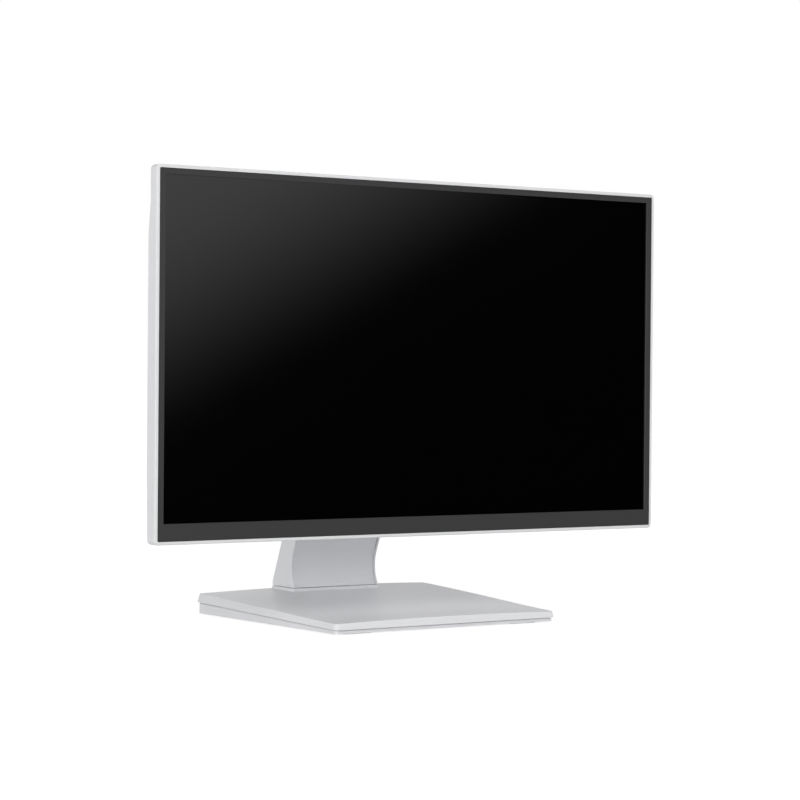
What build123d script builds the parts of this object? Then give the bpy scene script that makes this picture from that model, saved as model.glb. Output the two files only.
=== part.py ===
"""Desktop computer monitor on a tilting stand, made piece by piece.

Millimetres, +Z up, +X to the viewer's right, and the screen faces -Y. The origin is on the table,
under the middle of the base. A depth is a distance behind the front face of the head's rim.
"""
import math
import os

from build123d import *

# ---- Screen and head ----
screen_w = 527.0
screen_h = 296.5
border_side = 6.0
border_top = 5.4
border_bottom = 15.1
rim = 2.9
head_bottom = 80.3
face_y = -68.0
opening_w = screen_w + 2 * border_side
opening_h = screen_h + border_top + border_bottom
head_w = opening_w + 2 * rim
head_h = opening_h + 2 * rim
head_top = head_bottom + head_h
head_z = head_bottom + head_h / 2
screen_z = head_bottom + rim + border_bottom + screen_h / 2
corner_r = 4.0
fit_gap = 0.2

# ---- Depths of the head's layers ----
rim_back = 3.0
tongue_back = 8.4
bezel_front = 0.3
bezel_back = 1.7
skirt_back = 6.0
skirt_wall = 1.2
glass_front = 1.9
glass_back = 3.1
tray_wall = 0.5
tray_back = 8.0
chassis_front = 9.0
chassis_wall = 0.8
board_front = 16.0
board_wall = 1.6
flex_wall = 0.3

# ---- Rear cover ----
cover_wall = 2.2
edge_wall = 1.8
cover_top_depth = 13.0
cover_depth = 16.5
cover_foot_depth = 15.2
step_top = head_top - 32
step_low = head_top - 59
foot_bend = 140.0
bulge_depth = 52.0
bulge_low = 118.0
bulge_high = 338.0
bulge_root_high = 352.0
bulge_half = 150.0
bulge_root_half = 172.0

# ---- Wall-mount pattern and stand fixing ----
vesa_pitch = 100.0
vesa_z = 258.0
vesa_thread_r = 2.0
vesa_post_r = 5.0
fixing_x = 30.0
fixing_low = 168.0
fixing_high = 204.0
fixing_thread_r = 1.7
post_places = [(-141.0, 322.0), (141.0, 322.0), (-38.0, 130.0), (38.0, 130.0)]

# ---- Rear keys ----
key_x = 246.0
key_places = [152.0, 166.0, 180.0, 194.0]
power_z = 212.0
key_w = 7.0
key_h = 9.0
power_h = 11.0
key_proud = 0.8
key_travel = 0.5
key_gap = 0.3

# ---- Sockets on the underside of the bulge ----
inlet_x = -105.0
audio_x = 60.0
hdmi_x = 76.0
display_x = 97.0
vga_x = 124.0
socket_mouth = 118.8
socket_front = board_front + board_wall

# ---- Tilt hinge ----
hinge_depth = 74.0
hinge_z = 186.0
shaft_r = 4.0
running_gap = 0.05
yoke_ear_x = 30.0
yoke_ear_wall = 3.0
bracket_ear_x = 25.0
bracket_ear_wall = 3.5
ear_r = 8.5

# ---- Neck ----
neck_half = 48.0
neck_wall = 2.4
neck_foot = 24.4
neck_rear = 179.4
neck_lean = math.radians(22.4)
cover_recess = 0.8
cover_gap = 0.5
collar_gap = 0.5
cover_thick = 2.2
hood_front = 63.0
hood_top = 203.0
hood_shelf = 169.0

# ---- Base ----
base_front = -46.4
base_back = 182.4
base_front_half = 120.1
base_back_half = 130.3
overhang = 1.9
reveal_high = 1.0
reveal_deep = 1.1
band_slant = 14.0
groove_front = 4.9
groove_back = 11.9
base_wall = 2.5
foot_h = 1.2
base_depth = base_back - base_front
groove_mid = (groove_front + groove_back) / 2
groove_angle = math.degrees(math.atan2(groove_back - groove_front, base_depth))
# Height of the plate's top at four depths: at the side edges, and along the middle.
crown = [(-60.0, 9.8, 11.2), (40.0, 13.9, 16.3), (130.0, 18.0, 21.0), (200.0, 20.2, 21.7)]
crown_half = 140.0
weight_low = foot_h + 2.2
weight_thick = 4.0


def behind(depth):
    """Upright plane at a depth, X across and Z up. A negative extrude goes further back."""
    return Plane.XZ.offset(-(face_y + depth))


def side(depth, z):
    """A point in the side view, for sketches on Plane.YZ."""
    return (face_y + depth, z)


def finish(piece, name):
    """Label a finished piece and write its STEP file."""
    solid = piece.part
    solid.label = name
    export_step(solid, f"parts/{name}.step")
    print(f"{name}: {solid.volume:.0f} mm3, {len(solid.solids())} solids")


os.makedirs("parts", exist_ok=True)


# ======== Head: front frame and bezel ========
def front_frame():
    """White rim round the screen, with a tongue that the rear cover slides over."""
    tongue = 2 * (edge_wall + 0.15)
    with BuildPart() as frame:
        with BuildSketch(behind(0)):
            with Locations((0, head_z)):
                RectangleRounded(head_w, head_h, corner_r)
        extrude(amount=-rim_back)
        fillet(frame.faces().sort_by(Axis.Y)[0].edges(), 1.1)
        with BuildSketch(behind(rim_back)):
            with Locations((0, head_z)):
                RectangleRounded(head_w - tongue, head_h - tongue, corner_r - 1.5)
        extrude(amount=-(tongue_back - rim_back))
        with BuildSketch(behind(-1)):
            with Locations((0, head_z)):
                RectangleRounded(opening_w, opening_h, 1.2)
        extrude(amount=-20, mode=Mode.SUBTRACT)
    return frame


def front_bezel():
    """Dark border set in the rim, with a skirt round the display panel."""
    outer_w = opening_w - 2 * fit_gap
    outer_h = opening_h - 2 * fit_gap
    with BuildPart() as bezel:
        with BuildSketch(behind(bezel_front)):
            with Locations((0, head_z)):
                RectangleRounded(outer_w, outer_h, 1.0)
            with Locations((0, screen_z)):
                Rectangle(screen_w, screen_h, mode=Mode.SUBTRACT)
        extrude(amount=-(bezel_back - bezel_front))
        front = bezel.faces().sort_by(Axis.Y)[0]
        chamfer(front.inner_wires()[0].edges(), 0.5)
        with BuildSketch(behind(bezel_back)):
            with Locations((0, head_z)):
                RectangleRounded(outer_w, outer_h, 1.0)
                Rectangle(outer_w - 2 * skirt_wall, outer_h - 2 * skirt_wall, mode=Mode.SUBTRACT)
        extrude(amount=-(skirt_back - bezel_back))
    return bezel


finish(front_frame(), "front_frame")
finish(front_bezel(), "front_bezel")


# ======== Head: display panel ========
panel_w = 535.6
panel_h = 312.2
panel_z = head_z + 0.7
inner_w = panel_w - 2 * tray_wall - fit_gap
inner_h = panel_h - 2 * tray_wall - fit_gap
cavity_w = screen_w + 2.0
cavity_h = screen_h + 2.0
cavity_low = screen_z - cavity_h / 2


def sheet(width, height, centre_z, front, thickness):
    """A flat upright sheet."""
    with BuildPart() as piece:
        with BuildSketch(behind(front)):
            with Locations((0, centre_z)):
                Rectangle(width, height)
        extrude(amount=-thickness)
    return piece


def mid_frame():
    """Plastic picture frame that carries the glass over the light guide."""
    with BuildPart() as frame:
        with BuildSketch(behind(glass_back)):
            with Locations((0, panel_z)):
                Rectangle(inner_w, inner_h)
            with Locations((0, screen_z)):
                Rectangle(cavity_w, cavity_h, mode=Mode.SUBTRACT)
        extrude(amount=-(tray_back - tray_wall - glass_back))
    return frame


def led_bar():
    """Strip of white LEDs on a narrow board, shining up into the light guide."""
    board = 0.6
    led_count = 56
    with BuildPart() as bar:
        with BuildSketch(behind(3.9)):
            with Locations((0, cavity_low + board / 2 + 0.1)):
                Rectangle(cavity_w - 1, board)
        extrude(amount=-2.8)
        with BuildSketch(behind(4.2)):
            with Locations((0, cavity_low + board + 0.4)):
                with GridLocations(9.2, 1, led_count, 1):
                    Rectangle(5.0, 0.8)
        extrude(amount=-2.0)
    return bar


def panel_tray():
    """Pressed metal back of the display panel, open to the front, with two stiffening beads."""
    with BuildPart() as tray:
        with BuildSketch(behind(glass_back + 0.2)):
            with Locations((0, panel_z)):
                Rectangle(panel_w, panel_h)
        extrude(amount=-(tray_back - glass_back - 0.2))
        with BuildSketch(behind(glass_back)):
            with Locations((0, panel_z)):
                Rectangle(panel_w - 2 * tray_wall, panel_h - 2 * tray_wall)
        extrude(amount=-(tray_back - tray_wall - glass_back), mode=Mode.SUBTRACT)
        with BuildSketch(behind(tray_back)):
            with Locations((-205, panel_z), (205, panel_z)):
                SlotOverall(240, 10, rotation=90)
        extrude(amount=-0.6)
    return tray


def timing_board():
    """Narrow driver board behind the panel's lower edge."""
    with BuildPart() as board:
        with BuildSketch(behind(tray_back + 0.7)):
            with Locations((0, 99.0)):
                Rectangle(250, 18)
        extrude(amount=-1.0)
        with BuildSketch(behind(tray_back + 1.7)):
            with Locations((0, 98.0)):
                with GridLocations(58, 1, 4, 1):
                    Rectangle(12, 8)
        extrude(amount=-0.8)
    return board


def panel_flex():
    """Flat cable from the driver board, up into the bulge and onto the main board."""
    start = tray_back + 1.9
    route = [side(start, 104), side(start, 112), side(start + 1.4, 118), side(start + 1.4, 150)]
    with BuildPart() as flex:
        with BuildSketch(Plane.YZ.offset(74)):
            with BuildLine():
                FilletPolyline(*route, radius=3)
            trace(line_width=flex_wall)
        extrude(amount=26)
    return flex


glass_centre = screen_z - 0.5
finish(sheet(532, 302.5, glass_centre, glass_front, glass_back - glass_front), "lcd_glass")
finish(sheet(cavity_w - 1, cavity_h - 1, screen_z, 3.3, 0.5), "optical_films")
guide_low = cavity_low + 1.7
guide_h = cavity_h - 2.2
finish(sheet(cavity_w - 1, guide_h, guide_low + guide_h / 2, 4.0, 2.4), "light_guide")
finish(sheet(cavity_w - 1, cavity_h - 1, screen_z, 6.8, 0.3), "reflector_film")
finish(led_bar(), "led_bar")
finish(mid_frame(), "panel_mid_frame")
finish(panel_tray(), "panel_tray")
finish(timing_board(), "timing_board")
finish(panel_flex(), "panel_flex_cable")


# ======== Head: chassis, boards and sockets ========
vesa_places = [(x, vesa_z + z) for x in (-vesa_pitch / 2, vesa_pitch / 2)
               for z in (-vesa_pitch / 2, vesa_pitch / 2)]
fixing_places = [(x, z) for x in (-fixing_x, fixing_x) for z in (fixing_low, fixing_high)]
board_posts = [(-138, 150), (-68, 150), (-138, 300), (-68, 300),
               (66, 150), (140, 150), (66, 300), (140, 300)]


def chassis():
    """Steel tray that carries the boards, with posts for the rear cover's screws."""
    wide = 316.0
    low = 124.0
    high = 336.0
    with BuildPart() as plate:
        with BuildSketch(behind(chassis_front)):
            with Locations((0, (low + high) / 2)):
                Rectangle(wide, high - low)
        extrude(amount=-(board_front - chassis_front))
        with BuildSketch(behind(chassis_front + chassis_wall)):
            with Locations((0, (low + high) / 2)):
                Rectangle(wide - 2 * chassis_wall, high - low - 2 * chassis_wall)
        extrude(amount=-12, mode=Mode.SUBTRACT)
        with BuildSketch(behind(chassis_front + chassis_wall)):
            with Locations(*post_places):
                Circle(4.0)
        extrude(amount=-(bulge_depth - cover_wall - chassis_front - chassis_wall))
        with BuildSketch(behind(chassis_front + chassis_wall)):
            with Locations(*board_posts):
                Circle(3.0)
        extrude(amount=-(board_front - chassis_front - chassis_wall))
        with BuildSketch(behind(chassis_front)):
            with Locations(*post_places):
                Circle(1.5)
            with Locations(*board_posts):
                Circle(1.2)
            with Locations((87, low + 4)):
                Rectangle(34, 8.2)
        extrude(amount=-60, mode=Mode.SUBTRACT)
    return plate


def posts(places, radius, thread_r, back):
    """Threaded standoffs from the chassis towards the back."""
    with BuildPart() as group:
        with BuildSketch(behind(chassis_front + chassis_wall)):
            with Locations(*places):
                Circle(radius)
                Circle(thread_r, mode=Mode.SUBTRACT)
        extrude(amount=-(back - chassis_front - chassis_wall))
    return group


def board(centre_x, width, low, high, holes):
    """A bare circuit board with screw holes."""
    with BuildPart() as plate:
        with BuildSketch(behind(board_front)):
            with Locations((centre_x, (low + high) / 2)):
                Rectangle(width, high - low)
            with Locations(*holes):
                Circle(1.4, mode=Mode.SUBTRACT)
        extrude(amount=-board_wall)
    return plate.part


def power_board():
    """Mains board: transformer, bulk capacitors, coil and heat sink."""
    bare = board(-103, 82, 144, 312, board_posts[:4])
    with BuildPart() as unit:
        add(bare)
        with BuildSketch(behind(socket_front)):
            with Locations((-112, 205)):
                Rectangle(34, 30)
            with Locations((-82, 282)):
                Rectangle(8, 40)
        extrude(amount=-24)
        with BuildSketch(behind(socket_front)):
            with Locations((-125, 245), (-103, 245), (-84, 245), (-126, 272), (-112, 272)):
                Circle(6.0)
        extrude(amount=-20)
        with BuildSketch(behind(socket_front)):
            with Locations((-90, 172)):
                Rectangle(22, 18)
        extrude(amount=-15)
    return unit


def main_board():
    """Signal board: scaler chip with its heat sink, memory, coils and cable header."""
    bare = board(101, 90, 144, 312, board_posts[4:])
    header_front = tray_back + 1.9 + 1.4 + flex_wall / 2
    with BuildPart() as unit:
        add(bare)
        with BuildSketch(behind(header_front)):
            with Locations((87, 148.5)):
                Rectangle(28, 5)
        extrude(amount=-(board_front - header_front))
        with BuildSketch(behind(socket_front)):
            with Locations((110, 230)):
                Rectangle(28, 28)
            with Locations((80, 245)):
                Rectangle(12, 18)
            with Locations((88, 262), (132, 262)):
                Rectangle(9, 9)
            with Locations((118, 290)):
                Rectangle(24, 5)
        extrude(amount=-3)
        with BuildSketch(behind(socket_front + 3)):
            with Locations((110, 230)):
                with GridLocations(4.4, 1, 6, 1):
                    Rectangle(1.6, 26)
        extrude(amount=-9)
    return unit


def facing_down(x, depth):
    """Plane at a socket's mouth, X across and +Y down its page towards the back."""
    return Plane(origin=(x, face_y + depth, socket_mouth), x_dir=(1, 0, 0), z_dir=(0, 0, 1))


def socket(x, outer, inner, length, hollow, tongue):
    """A signal socket: metal shell round a contact tongue, mouth facing down."""
    depth = socket_front + 0.2 + outer[1] / 2
    with BuildPart() as shell:
        with BuildSketch(facing_down(x, depth)):
            RectangleRounded(*outer, 0.8)
        extrude(amount=length)
        with BuildSketch(facing_down(x, depth)):
            RectangleRounded(*inner, 0.5)
        extrude(amount=hollow, mode=Mode.SUBTRACT)
        with BuildSketch(facing_down(x, depth).offset(1.0)):
            Rectangle(*tongue)
        extrude(amount=hollow)
    return shell


def vga_socket():
    """D-shaped socket with fifteen contact holes and two jack posts."""
    depth = socket_front + 6.6
    with BuildPart() as shell:
        with BuildSketch(facing_down(vga_x, depth).offset(2.0)):
            RectangleRounded(31, 12.4, 1.0)
        extrude(amount=9)
        with BuildSketch(facing_down(vga_x, depth).offset(-3.0)):
            with BuildLine():
                Polyline((-8.6, -3.9), (8.6, -3.9), (7.2, 3.9), (-7.2, 3.9), close=True)
            make_face()
        extrude(amount=5)
        with BuildSketch(facing_down(vga_x, depth).offset(-3.0)):
            with Locations((0, -2.3), (0, 0), (0, 2.3)):
                with GridLocations(2.3, 1, 5, 1):
                    Circle(0.5)
        extrude(amount=6, mode=Mode.SUBTRACT)
        with BuildSketch(facing_down(vga_x, depth).offset(-2.4)):
            with Locations((-12.5, 0), (12.5, 0)):
                RegularPolygon(2.7, 6)
        extrude(amount=4.4)
        with BuildSketch(facing_down(vga_x, depth).offset(-2.4)):
            with Locations((-12.5, 0), (12.5, 0)):
                Circle(1.3)
        extrude(amount=5, mode=Mode.SUBTRACT)
    return shell


def audio_socket():
    """Headphone socket."""
    depth = socket_front + 3.4
    with BuildPart() as jack:
        with BuildSketch(facing_down(audio_x, depth).offset(1.4)):
            Rectangle(7, 6)
        extrude(amount=12)
        with BuildSketch(facing_down(audio_x, depth)):
            Circle(2.9)
        extrude(amount=1.4)
        with BuildSketch(facing_down(audio_x, depth)):
            Circle(1.8)
        extrude(amount=11, mode=Mode.SUBTRACT)
    return jack


inlet_depth = socket_front + 11.5
inlet_w = 27.0
inlet_d = 19.6
inlet_mouth_w = 24.0
inlet_mouth_d = 16.4
inlet_floor = 17.0


def ac_inlet():
    """Mains inlet: a six-sided well with three pins, mouth facing down."""
    with BuildPart() as body:
        with BuildSketch(facing_down(inlet_x, inlet_depth)):
            RectangleRounded(inlet_w, inlet_d, 2.0)
        extrude(amount=22)
        with BuildSketch(facing_down(inlet_x, inlet_depth)) as well:
            Rectangle(inlet_mouth_w, inlet_mouth_d)
            chamfer(well.vertices().group_by(Axis.Y)[0], 4.0)
        extrude(amount=inlet_floor, mode=Mode.SUBTRACT)
        with BuildSketch(facing_down(inlet_x, inlet_depth).offset(5.2)):
            with Locations((-7, 2), (7, 2), (0, -2)):
                Rectangle(2.0, 4.0)
        extrude(amount=inlet_floor - 5.2)
    return body


io_low = bulge_low + cover_wall + 0.2


def io_bracket():
    """Pressed steel plate behind the sockets' opening, with one cut-out for each socket."""
    with BuildPart() as plate:
        with BuildSketch(Plane(origin=(97, face_y + 27.5, io_low), z_dir=(0, 0, 1))):
            Rectangle(95, 23)
        extrude(amount=0.8)
        with BuildSketch(Plane(origin=(97, face_y + 16.4, io_low), z_dir=(0, 0, 1))):
            Rectangle(95, 0.8)
        extrude(amount=10)
        with BuildSketch(Plane(origin=(0, face_y, io_low - 1), z_dir=(0, 0, 1))):
            with Locations((audio_x, socket_front + 3.4)):
                Rectangle(7.4, 6.4)
            with Locations((hdmi_x, socket_front + 3.2)):
                Rectangle(15.8, 6.8)
            with Locations((display_x, socket_front + 3.2)):
                Rectangle(17.4, 6.8)
            with Locations((vga_x, socket_front + 6.6)):
                Rectangle(31.4, 12.8)
        extrude(amount=3, mode=Mode.SUBTRACT)
    return plate


finish(chassis(), "chassis_tray")
finish(posts(vesa_places, vesa_post_r, vesa_thread_r, bulge_depth), "wall_mount_standoffs")
finish(posts(fixing_places, 4.0, fixing_thread_r, bulge_depth - cover_wall), "stand_standoffs")
finish(power_board(), "power_board")
finish(main_board(), "main_board")
finish(socket(hdmi_x, (15.4, 6.0), (14.2, 4.8), 12, 9, (11.0, 1.1)), "hdmi_socket")
finish(socket(display_x, (17.0, 6.0), (15.8, 4.8), 13, 9, (12.0, 1.3)), "display_socket")
finish(vga_socket(), "vga_socket")
finish(audio_socket(), "audio_socket")
finish(ac_inlet(), "mains_inlet")
finish(io_bracket(), "socket_bracket")


# ======== Head: rear keys ========
switch_front = tray_back + 1.7
switch_high = 2.8
key_inner = cover_depth - cover_wall
key_flange = 0.9
all_keys = [(z, key_h) for z in key_places] + [(power_z, power_h)]


def key_board():
    """Narrow board with one push switch behind each key and the status light's lamp."""
    with BuildPart() as strip:
        with BuildSketch(behind(tray_back + 0.7)):
            with Locations((key_x, 183)):
                Rectangle(13, 82)
        extrude(amount=-1.0)
        with BuildSketch(behind(switch_front)):
            with Locations(*[(key_x, z) for z, _ in all_keys]):
                Rectangle(4, 4)
        extrude(amount=-switch_high)
    return strip


def rear_key(z, height):
    """A key cap with a flange that keeps it behind the cover."""
    with BuildPart() as cap:
        with BuildSketch(behind(key_inner - key_flange - 0.3)):
            with Locations((key_x, z)):
                Rectangle(key_w + 2.0, height + 2.0)
        extrude(amount=-key_flange)
        with BuildSketch(behind(key_inner - 0.3)):
            with Locations((key_x, z)):
                RectangleRounded(key_w, height, 1.4)
        extrude(amount=-(cover_wall + 0.3 + key_proud))
        fillet(cap.faces().sort_by(Axis.Y)[-1].edges(), 0.5)
    return cap


def light_pipe():
    """Clear rod from the key board's lamp to the underside of the head."""
    with BuildPart() as rod:
        with BuildSketch(behind(tray_back + 0.8)):
            with Locations((key_x, (head_bottom + 141) / 2)):
                Rectangle(4.0, 141 - head_bottom)
        extrude(amount=-1.4)
    return rod


finish(key_board(), "key_board")
for number, z in enumerate(key_places, start=1):
    finish(rear_key(z, key_h), f"menu_key_{number}")
finish(rear_key(power_z, power_h), "power_key")
finish(light_pipe(), "status_light_pipe")


# ======== Head: rear cover ========
def cover_volume(inset):
    """The head's back, drawn in by a wall thickness for the inside."""
    edge = edge_wall if inset else 0.0
    start = rim_back - inset
    with BuildPart() as volume:
        with BuildSketch(Plane.YZ):
            with BuildLine():
                Polyline(side(start, head_bottom + edge),
                         side(cover_foot_depth - inset, head_bottom + edge),
                         side(cover_depth - inset, foot_bend),
                         side(cover_depth - inset, step_low),
                         side(cover_top_depth - inset, step_top),
                         side(cover_top_depth - inset, head_top - edge),
                         side(start, head_top - edge),
                         close=True)
            make_face()
        extrude(amount=head_w / 2 - edge, both=True)
        with BuildSketch(behind(start)):
            with Locations((0, head_z)):
                RectangleRounded(head_w - 2 * edge, head_h - 2 * edge, corner_r - edge * 0.7)
        extrude(amount=-30, mode=Mode.INTERSECT)
        if not inset:
            back_edges = [e for e in volume.edges().filter_by(Axis.Y, reverse=True)
                          if e.center().Y > face_y + 8
                          and (abs(e.center().X) > head_w / 2 - 3
                               or e.center().Z > head_top - 2
                               or e.center().Z < head_bottom + 2)]
            fillet(back_edges, 2.8)
        with BuildSketch(behind(cover_top_depth - inset - 1)):
            with Locations((0, (bulge_low + bulge_root_high) / 2)):
                RectangleRounded(2 * (bulge_root_half - inset),
                                 bulge_root_high - bulge_low - 2 * inset, 12)
        with BuildSketch(behind(bulge_depth - inset)):
            with Locations((0, (bulge_low + bulge_high) / 2)):
                RectangleRounded(2 * (bulge_half - inset),
                                 bulge_high - bulge_low - 2 * inset, 9)
        loft()
        if not inset:
            fillet(volume.faces().sort_by(Axis.Y)[-1].edges(), 5)
    return volume.part


def rear_cover():
    """White moulded back: thin edge, raised housing, air slots, key holes and socket openings."""
    outside = cover_volume(0)
    inside = cover_volume(cover_wall)
    with BuildPart() as cover:
        add(outside)
        add(inside, mode=Mode.SUBTRACT)
        with BuildSketch(behind(bulge_depth - 10)):
            with Locations(*vesa_places):
                Circle(vesa_post_r + fit_gap)
            with Locations(*post_places):
                Circle(1.8)
            with Locations(*fixing_places):
                Circle(2.2)
            with Locations((0, 326)):
                with GridLocations(8.0, 1, 31, 1):
                    SlotOverall(12, 2.4, rotation=90)
        extrude(amount=-12, mode=Mode.SUBTRACT)
        with BuildSketch(behind(bulge_depth - 1.0)):
            with Locations(*post_places):
                Circle(3.6)
        extrude(amount=-2, mode=Mode.SUBTRACT)
        with BuildSketch(behind(key_inner - 1)):
            for z, height in all_keys:
                with Locations((key_x, z)):
                    RectangleRounded(key_w + 2 * key_gap, height + 2 * key_gap, 1.6)
        extrude(amount=-6, mode=Mode.SUBTRACT)
        with BuildSketch(Plane(origin=(0, face_y, bulge_low - 1), z_dir=(0, 0, 1))):
            with Locations((inlet_x, inlet_depth)):
                RectangleRounded(inlet_w + 0.4, inlet_d + 0.4, 2.2)
            with Locations((98, 25.5)):
                Rectangle(90, 17)
            with Locations((0, 34)):
                with GridLocations(6.0, 1, 11, 1):
                    SlotOverall(18, 2.4, rotation=90)
            with Locations((-62, 30)):
                Rectangle(7.0, 3.0)
        extrude(amount=5, mode=Mode.SUBTRACT)
        with BuildSketch(Plane(origin=(key_x, face_y + tray_back + 1.5, head_bottom - 1),
                               z_dir=(0, 0, 1))):
            Rectangle(4.2, 1.6)
        extrude(amount=5, mode=Mode.SUBTRACT)
    return cover


finish(rear_cover(), "rear_cover")


# ======== Screws ========
def pan_screw(plane, places, head_r, head_h, shank_r, shank):
    """Pan-head screws with a cross recess: the head rises from the plane, the shank goes down."""
    with BuildPart() as group:
        with BuildSketch(plane):
            with Locations(*places):
                Circle(head_r)
        extrude(amount=head_h)
        with BuildSketch(plane):
            with Locations(*places):
                Circle(shank_r)
        extrude(amount=-shank)
        with BuildSketch(plane.offset(head_h * 0.35)):
            with Locations(*places):
                Rectangle(head_r * 1.2, head_r * 0.3)
                Rectangle(head_r * 0.3, head_r * 1.2)
        extrude(amount=head_h, mode=Mode.SUBTRACT)
    return group


def from_behind(depth):
    """Plane that faces backwards, for screws driven from the back. Its X runs along -X."""
    return Plane(origin=(0, face_y + depth, 0), x_dir=(-1, 0, 0), z_dir=(0, 1, 0))


def mirrored(places):
    """The same places, seen on a plane whose X is reversed."""
    return [(-x, z) for x, z in places]


finish(pan_screw(from_behind(bulge_depth - 1.0), mirrored(post_places), 3.3, 1.0, 1.45, 9.0),
       "cover_screws")
finish(pan_screw(from_behind(socket_front), mirrored(board_posts), 2.6, 1.6, 1.15, 6.0),
       "board_screws")


# ======== Tilt hinge ========
yoke_wall = 2.5
yoke_back = bulge_depth + yoke_wall
yoke_low = 160.0
yoke_high = 212.0
ear_outer = yoke_ear_x + yoke_ear_wall
washer_wall = 0.7


def ear_outline(front_depth, half_height):
    """Side view of a hinge ear: a tapering arm that ends round the shaft."""
    with BuildSketch() as ear:
        with BuildLine():
            Polyline(side(front_depth, hinge_z - half_height),
                     side(hinge_depth, hinge_z - ear_r),
                     side(hinge_depth, hinge_z + ear_r),
                     side(front_depth, hinge_z + half_height),
                     close=True)
        make_face()
        with Locations(side(hinge_depth, hinge_z)):
            Circle(ear_r)
    return ear.sketch


def both_sides(profile, inner_x, thickness, hole_r):
    """A pair of hinge ears, one on each side, with the shaft's bore."""
    with BuildPart() as pair:
        for start in (inner_x, -inner_x - thickness):
            with BuildSketch(Plane.YZ.offset(start)):
                add(profile)
            extrude(amount=thickness)
        with BuildSketch(Plane.YZ.offset(-60)):
            with Locations(side(hinge_depth, hinge_z)):
                Circle(hole_r)
        extrude(amount=120, mode=Mode.SUBTRACT)
    return pair.part


def hinge_yoke():
    """Pressed steel plate screwed to the head, with two ears round the hinge shaft."""
    ears = both_sides(ear_outline(bulge_depth + 1, 10.0), yoke_ear_x, yoke_ear_wall, shaft_r)
    with BuildPart() as yoke:
        with BuildSketch(behind(bulge_depth)):
            with Locations((0, (yoke_low + yoke_high) / 2)):
                RectangleRounded(80, yoke_high - yoke_low, 4)
                Rectangle(30, 24, mode=Mode.SUBTRACT)
            with Locations(*fixing_places):
                Circle(2.2, mode=Mode.SUBTRACT)
        extrude(amount=-yoke_wall)
        add(ears)
    return yoke


def hinge_shaft():
    """Steel pin through all four ears, held by a nut at each end."""
    with BuildPart() as shaft:
        with BuildSketch(Plane.YZ.offset(-40)):
            with Locations(side(hinge_depth, hinge_z)):
                Circle(shaft_r)
        extrude(amount=80)
        chamfer(shaft.edges().filter_by(GeomType.CIRCLE), 0.6)
    return shaft


def hinge_nuts():
    """Hexagon nuts that press the friction washers together."""
    with BuildPart() as nuts:
        for start in (ear_outer, -ear_outer - 4.0):
            with BuildSketch(Plane.YZ.offset(start)):
                with Locations(side(hinge_depth, hinge_z)):
                    RegularPolygon(7.0, 6)
                    Circle(shaft_r, mode=Mode.SUBTRACT)
            extrude(amount=4.0)
    return nuts


def friction_washers():
    """Two spring washers on each side, between the stand's ears and the head's."""
    inner = bracket_ear_x + bracket_ear_wall
    with BuildPart() as stack:
        for start in (inner, inner + washer_wall, -inner - washer_wall, -inner - 2 * washer_wall):
            with BuildSketch(Plane.YZ.offset(start)):
                with Locations(side(hinge_depth, hinge_z)):
                    Circle(ear_r - 0.8 if abs(start + washer_wall / 2) > inner + washer_wall else ear_r)
                    Circle(shaft_r + 0.08, mode=Mode.SUBTRACT)
            extrude(amount=washer_wall)
    return stack


finish(hinge_yoke(), "hinge_yoke")
finish(pan_screw(from_behind(yoke_back), mirrored(fixing_places), 3.4, 1.8, 1.6, 14.0),
       "yoke_screws")
finish(hinge_shaft(), "hinge_shaft")
finish(hinge_nuts(), "hinge_nuts")
finish(friction_washers(), "friction_washers")


# ======== Neck ========
slope = math.tan(neck_lean)
foot_arc_r = 33.8
foot_arc_depth = 111.6
foot_arc_z = 43.0
throat_r = 33.2
crown_r = 50.1


def neck_front_at(z):
    """Depth of the neck's lower front face, a hollow arc."""
    return foot_arc_depth + math.sqrt(foot_arc_r ** 2 - (z - foot_arc_z) ** 2)


def neck_outline(inset=0.0, foot=neck_foot):
    """Side view of the neck: hollow front, leaning back, and a hood round the hinge."""
    lean_end = (foot_arc_depth + foot_arc_r * math.cos(neck_lean),
                foot_arc_z + foot_arc_r * math.sin(neck_lean))
    throat = (hinge_depth + throat_r * math.cos(neck_lean),
              hood_shelf - throat_r + throat_r * math.sin(neck_lean))
    crown_start = (hinge_depth + crown_r * math.cos(neck_lean),
                   hood_top - crown_r + crown_r * math.sin(neck_lean))
    heel = (neck_rear, crown_start[1] - (neck_rear - crown_start[0]) / slope)
    with BuildSketch() as outline:
        with BuildLine():
            foot_curve = ThreePointArc(side(neck_front_at(foot), foot),
                                       side(foot_arc_depth + foot_arc_r, foot_arc_z),
                                       side(*lean_end))
            Line(foot_curve @ 1, side(*throat))
            throat_curve = RadiusArc(side(*throat), side(hinge_depth, hood_shelf), -throat_r)
            Polyline(throat_curve @ 1, side(hood_front, hood_shelf),
                     side(hood_front, hood_top), side(hinge_depth, hood_top))
            back_curve = RadiusArc(side(hinge_depth, hood_top), side(*crown_start), crown_r)
            Polyline(back_curve @ 1, side(*heel), side(neck_rear, foot), foot_curve @ 0)
        make_face()
        if inset:
            offset(amount=-inset, kind=Kind.INTERSECTION)
    return outline.sketch


def neck_front_zone():
    """Side view of everything in front of the neck's middle, up to the hood's shelf."""
    middle = (neck_front_at(56) + neck_rear - slope * 27) / 2
    shelf = hood_shelf + cover_recess + cover_thick
    with BuildSketch() as zone:
        with BuildLine():
            Polyline(side(20, 0), side(160, 0), side(160, 42), side(middle - slope * 94, 150),
                     side(98, shelf), side(20, shelf), close=True)
        make_face()
    return zone.sketch


outer_sketch = neck_outline()
inner_sketch = neck_outline(neck_wall, foot=neck_foot - 6)
recess_sketch = neck_outline(cover_recess, foot=neck_foot - cover_recess)
lining_sketch = neck_outline(cover_recess + cover_thick, foot=neck_foot - 6)
front_zone = neck_front_zone()
inner_half = neck_half - neck_wall


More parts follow.
